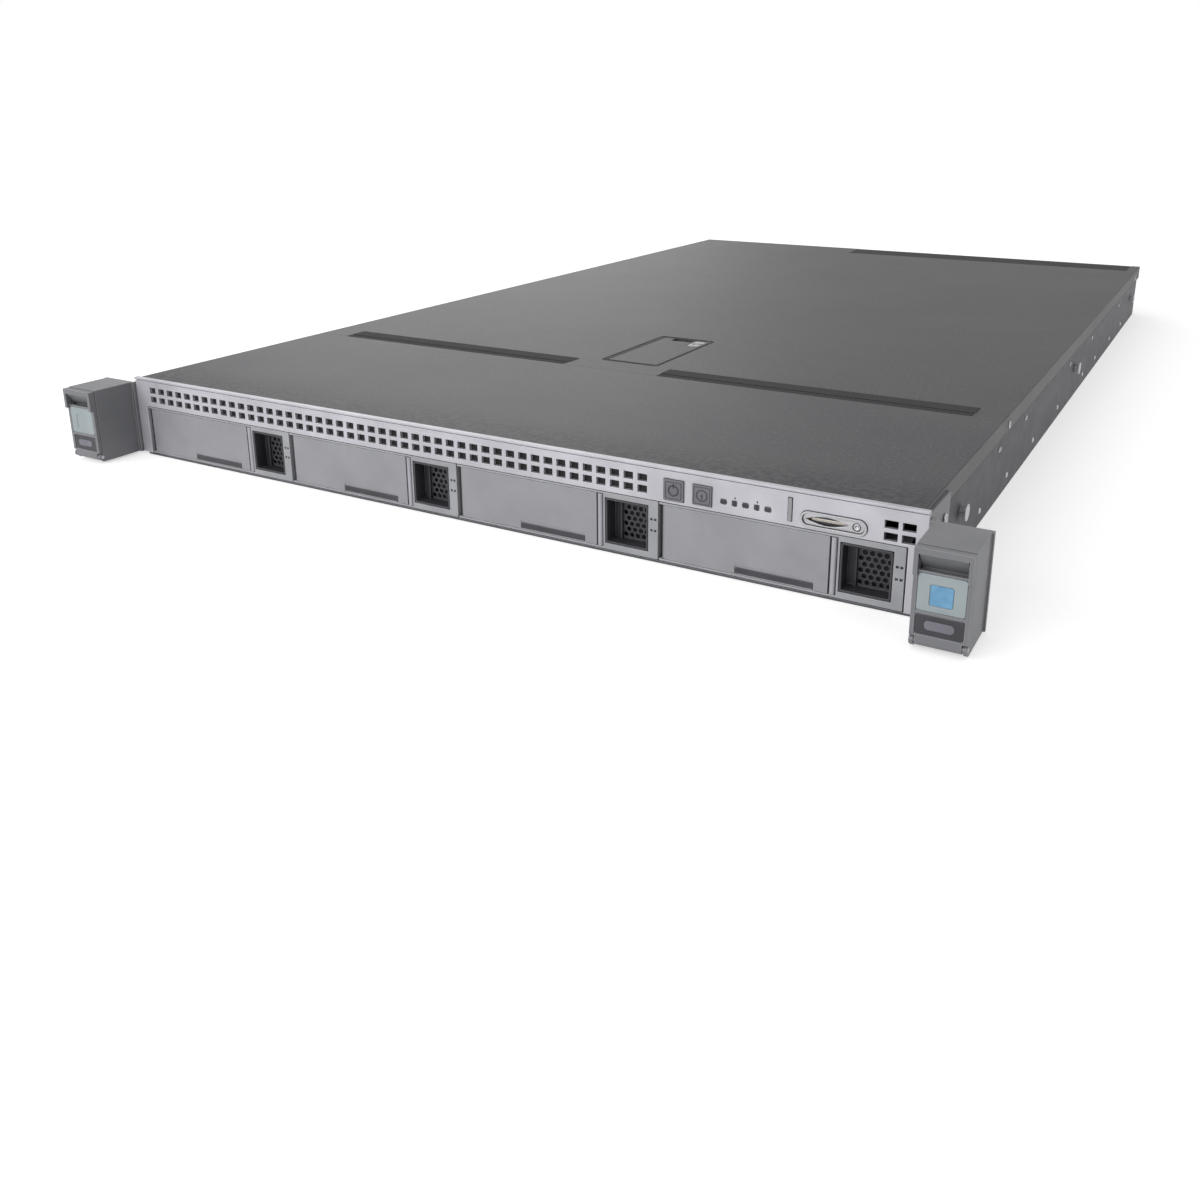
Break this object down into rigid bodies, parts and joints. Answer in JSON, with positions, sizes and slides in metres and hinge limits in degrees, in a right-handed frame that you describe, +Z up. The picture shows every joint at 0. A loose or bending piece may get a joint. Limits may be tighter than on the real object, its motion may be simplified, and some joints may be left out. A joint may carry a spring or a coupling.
{
  "type": "rack server",
  "caption": "Flat rack-mount server with front drive bays, vented bezel, ear latches, sliding lid, fans and plug-in power supplies.",
  "frame": {"origin": "under the middle of the whole server, on the plane of its underside", "axes": "+X to the right seen from the front, +Y from the front towards the rear, +Z up"},
  "size_m": [0.482, 0.778, 0.0432],
  "materials": {
    "galvanised_steel": "galvanised sheet",
    "grey_enamel": "fine textured grey paint",
    "silver_enamel": "satin silver-grey paint",
    "ear_silver": "satin grey casting",
    "pawl_steel": "plated steel",
    "carrier_plastic": "moulded grey plastic",
    "lever_plastic": "moulded grey plastic",
    "release_plastic": "moulded grey plastic",
    "disk_casting": "cast and machined",
    "heatsink_aluminium": "extruded fins",
    "board_laminate": "solder mask",
    "fan_plastic": "moulded black plastic",
    "psu_steel": "plated sheet",
    "handle_plastic": "moulded black plastic",
    "latch_plastic": "moulded green plastic",
    "button_plastic": "moulded grey plastic",
    "tag_plastic": "moulded grey plastic",
    "light_pipe": "clear moulded plastic",
    "connector_shell": "nickel plated shell"
  },
  "bodies": {
    "chassis": {"chassis_tray": "galvanised_steel", "rear_panel": "galvanised_steel", "port_panel": "galvanised_steel", "drive_cage": "galvanised_steel", "slot_blanks": "galvanised_steel", "rail_pegs": "galvanised_steel", "lever_pins": "galvanised_steel", "front_top_panel": "grey_enamel", "front_bezel": "silver_enamel", "ear_bracket_left": "ear_silver", "ear_bracket_right": "ear_silver", "cpu_heatsinks": "heatsink_aluminium", "motherboard": "board_laminate", "drive_backplane": "board_laminate", "memory_modules": "board_laminate", "pcie_risers": "board_laminate", "front_panel_board": "board_laminate", "fan_housings": "fan_plastic", "status_lights": "light_pipe", "kvm_connector": "connector_shell", "vga_port": "connector_shell", "rear_ports": "connector_shell"},
    "top_cover": {"top_cover": "grey_enamel"},
    "cover_latch": {"cover_latch": "grey_enamel"},
    "latch_lock": {"latch_lock": "pawl_steel"},
    "slam_lever_left": {"slam_lever_left": "ear_silver"},
    "slam_lever_right": {"slam_lever_right": "ear_silver"},
    "latch_pawl_left": {"latch_pawl_left": "pawl_steel"},
    "latch_pawl_right": {"latch_pawl_right": "pawl_steel"},
    "power_button": {"power_button": "button_plastic"},
    "id_button": {"id_button": "button_plastic"},
    "rear_id_button": {"rear_id_button": "button_plastic"},
    "asset_tag": {"asset_tag": "tag_plastic"},
    "fan_rotor_1": {"fan_rotor_1": "fan_plastic"},
    "fan_rotor_2": {"fan_rotor_2": "fan_plastic"},
    "fan_rotor_3": {"fan_rotor_3": "fan_plastic"},
    "fan_rotor_4": {"fan_rotor_4": "fan_plastic"},
    "fan_rotor_5": {"fan_rotor_5": "fan_plastic"},
    "fan_rotor_6": {"fan_rotor_6": "fan_plastic"},
    "drive_1": {"carrier_1": "carrier_plastic", "disk_1": "disk_casting"},
    "ejector_lever_1": {"ejector_lever_1": "lever_plastic"},
    "release_button_1": {"release_button_1": "release_plastic"},
    "drive_2": {"carrier_2": "carrier_plastic", "disk_2": "disk_casting"},
    "ejector_lever_2": {"ejector_lever_2": "lever_plastic"},
    "release_button_2": {"release_button_2": "release_plastic"},
    "drive_3": {"carrier_3": "carrier_plastic", "disk_3": "disk_casting"},
    "ejector_lever_3": {"ejector_lever_3": "lever_plastic"},
    "release_button_3": {"release_button_3": "release_plastic"},
    "drive_4": {"carrier_4": "carrier_plastic", "disk_4": "disk_casting"},
    "ejector_lever_4": {"ejector_lever_4": "lever_plastic"},
    "release_button_4": {"release_button_4": "release_plastic"},
    "power_supply_1": {"psu_1_case": "psu_steel", "psu_1_handle": "handle_plastic"},
    "psu_1_latch": {"psu_1_latch": "latch_plastic"},
    "power_supply_2": {"psu_2_case": "psu_steel", "psu_2_handle": "handle_plastic"},
    "psu_2_latch": {"psu_2_latch": "latch_plastic"}
  },
  "joints": [
    {"name": "power_button_press", "type": "slide", "parent": "chassis", "child": "power_button", "axis": [0, 1, 0], "range_m": [0, 0.001], "stiffness_N_per_m": 400, "springref_m": -0.0005},
    {"name": "id_button_press", "type": "slide", "parent": "chassis", "child": "id_button", "axis": [0, 1, 0], "range_m": [0, 0.001], "stiffness_N_per_m": 400, "springref_m": -0.0005},
    {"name": "rear_id_button_press", "type": "slide", "parent": "chassis", "child": "rear_id_button", "axis": [0, -1, 0], "range_m": [0, 0.001], "stiffness_N_per_m": 400, "springref_m": -0.0005},
    {"name": "asset_tag_slide", "type": "slide", "parent": "chassis", "child": "asset_tag", "axis": [0, -1, 0], "range_m": [0, 0.04]},
    {"name": "slam_lever_right_swing", "type": "hinge", "parent": "chassis", "child": "slam_lever_right", "pos_m": [0.2278, -0.3856, 0.0036], "axis": [1, 0, 0], "range_deg": [0, 90], "stiffness_Nm_per_rad": 0.01, "springref_deg": -20.05},
    {"name": "latch_pawl_right_turn", "type": "hinge", "parent": "chassis", "child": "latch_pawl_right", "pos_m": [0.2254, -0.369, 0.0069], "axis": [0, 0, 1], "range_deg": [0, 15]},
    {"name": "slam_lever_left_swing", "type": "hinge", "parent": "chassis", "child": "slam_lever_left", "pos_m": [-0.2278, -0.3856, 0.0036], "axis": [1, 0, 0], "range_deg": [0, 90], "stiffness_Nm_per_rad": 0.01, "springref_deg": -20.05},
    {"name": "latch_pawl_left_turn", "type": "hinge", "parent": "chassis", "child": "latch_pawl_left", "pos_m": [-0.2254, -0.369, 0.0069], "axis": [0, 0, -1], "range_deg": [0, 15]},
    {"name": "cover_slide", "type": "slide", "parent": "chassis", "child": "top_cover", "axis": [0, 1, 0], "range_m": [0, 0.012]},
    {"name": "cover_latch_lift", "type": "hinge", "parent": "top_cover", "child": "cover_latch", "pos_m": [0.001, -0.1962, 0.0411], "axis": [1, 0, 0], "range_deg": [0, 70]},
    {"name": "latch_lock_turn", "type": "hinge", "parent": "cover_latch", "child": "latch_lock", "pos_m": [0.0118, -0.1326, 0.043], "axis": [0, 0, 1], "range_deg": [-90, 0]},
    {"name": "fan_rotor_1_spin", "type": "hinge", "parent": "chassis", "child": "fan_rotor_1", "pos_m": [-0.172, -0.17, 0.021], "axis": [0, 1, 0], "continuous": true},
    {"name": "fan_rotor_2_spin", "type": "hinge", "parent": "chassis", "child": "fan_rotor_2", "pos_m": [-0.106, -0.17, 0.021], "axis": [0, 1, 0], "continuous": true},
    {"name": "fan_rotor_3_spin", "type": "hinge", "parent": "chassis", "child": "fan_rotor_3", "pos_m": [-0.04, -0.17, 0.021], "axis": [0, 1, 0], "continuous": true},
    {"name": "fan_rotor_4_spin", "type": "hinge", "parent": "chassis", "child": "fan_rotor_4", "pos_m": [0.04, -0.17, 0.021], "axis": [0, 1, 0], "continuous": true},
    {"name": "fan_rotor_5_spin", "type": "hinge", "parent": "chassis", "child": "fan_rotor_5", "pos_m": [0.106, -0.17, 0.021], "axis": [0, 1, 0], "continuous": true},
    {"name": "fan_rotor_6_spin", "type": "hinge", "parent": "chassis", "child": "fan_rotor_6", "pos_m": [0.172, -0.17, 0.021], "axis": [0, 1, 0], "continuous": true},
    {"name": "power_supply_1_slide", "type": "slide", "parent": "chassis", "child": "power_supply_1", "axis": [0, 1, 0], "range_m": [0, 0.15]},
    {"name": "psu_1_latch_press", "type": "hinge", "parent": "power_supply_1", "child": "psu_1_latch", "pos_m": [0.1533, 0.3411, 0.02], "axis": [0, 0, 1], "range_deg": [0, 4], "stiffness_Nm_per_rad": 0.2, "springref_deg": -1.15},
    {"name": "power_supply_2_slide", "type": "slide", "parent": "chassis", "child": "power_supply_2", "axis": [0, 1, 0], "range_m": [0, 0.15]},
    {"name": "psu_2_latch_press", "type": "hinge", "parent": "power_supply_2", "child": "psu_2_latch", "pos_m": [0.209, 0.3411, 0.02], "axis": [0, 0, 1], "range_deg": [0, 4], "stiffness_Nm_per_rad": 0.2, "springref_deg": -1.15},
    {"name": "drive_1_slide", "type": "slide", "parent": "chassis", "child": "drive_1", "axis": [0, -1, 0], "range_m": [0, 0.15]},
    {"name": "ejector_lever_1_swing", "type": "hinge", "parent": "drive_1", "child": "ejector_lever_1", "pos_m": [-0.206, -0.3578, 0.0143], "axis": [0, 0, -1], "range_deg": [0, 60]},
    {"name": "release_button_1_press", "type": "slide", "parent": "drive_1", "child": "release_button_1", "axis": [0, 1, 0], "range_m": [0, 0.0015], "stiffness_N_per_m": 300, "springref_m": -0.0005},
    {"name": "drive_2_slide", "type": "slide", "parent": "chassis", "child": "drive_2", "axis": [0, -1, 0], "range_m": [0, 0.15]},
    {"name": "ejector_lever_2_swing", "type": "hinge", "parent": "drive_2", "child": "ejector_lever_2", "pos_m": [-0.101, -0.3578, 0.0143], "axis": [0, 0, -1], "range_deg": [0, 60]},
    {"name": "release_button_2_press", "type": "slide", "parent": "drive_2", "child": "release_button_2", "axis": [0, 1, 0], "range_m": [0, 0.0015], "stiffness_N_per_m": 300, "springref_m": -0.0005},
    {"name": "drive_3_slide", "type": "slide", "parent": "chassis", "child": "drive_3", "axis": [0, -1, 0], "range_m": [0, 0.15]},
    {"name": "ejector_lever_3_swing", "type": "hinge", "parent": "drive_3", "child": "ejector_lever_3", "pos_m": [0.004, -0.3578, 0.0143], "axis": [0, 0, -1], "range_deg": [0, 60]},
    {"name": "release_button_3_press", "type": "slide", "parent": "drive_3", "child": "release_button_3", "axis": [0, 1, 0], "range_m": [0, 0.0015], "stiffness_N_per_m": 300, "springref_m": -0.0005},
    {"name": "drive_4_slide", "type": "slide", "parent": "chassis", "child": "drive_4", "axis": [0, -1, 0], "range_m": [0, 0.15]},
    {"name": "ejector_lever_4_swing", "type": "hinge", "parent": "drive_4", "child": "ejector_lever_4", "pos_m": [0.109, -0.3578, 0.0143], "axis": [0, 0, -1], "range_deg": [0, 60]},
    {"name": "release_button_4_press", "type": "slide", "parent": "drive_4", "child": "release_button_4", "axis": [0, 1, 0], "range_m": [0, 0.0015], "stiffness_N_per_m": 300, "springref_m": -0.0005}
  ],
  "couplings": [
    {"joint": "latch_pawl_right_turn", "follows": "slam_lever_right_swing", "ratio": 0.16667},
    {"joint": "latch_pawl_left_turn", "follows": "slam_lever_left_swing", "ratio": 0.16667},
    {"joint": "cover_latch_lift", "follows": "cover_slide", "rad_per_m": 101.67}
  ]
}
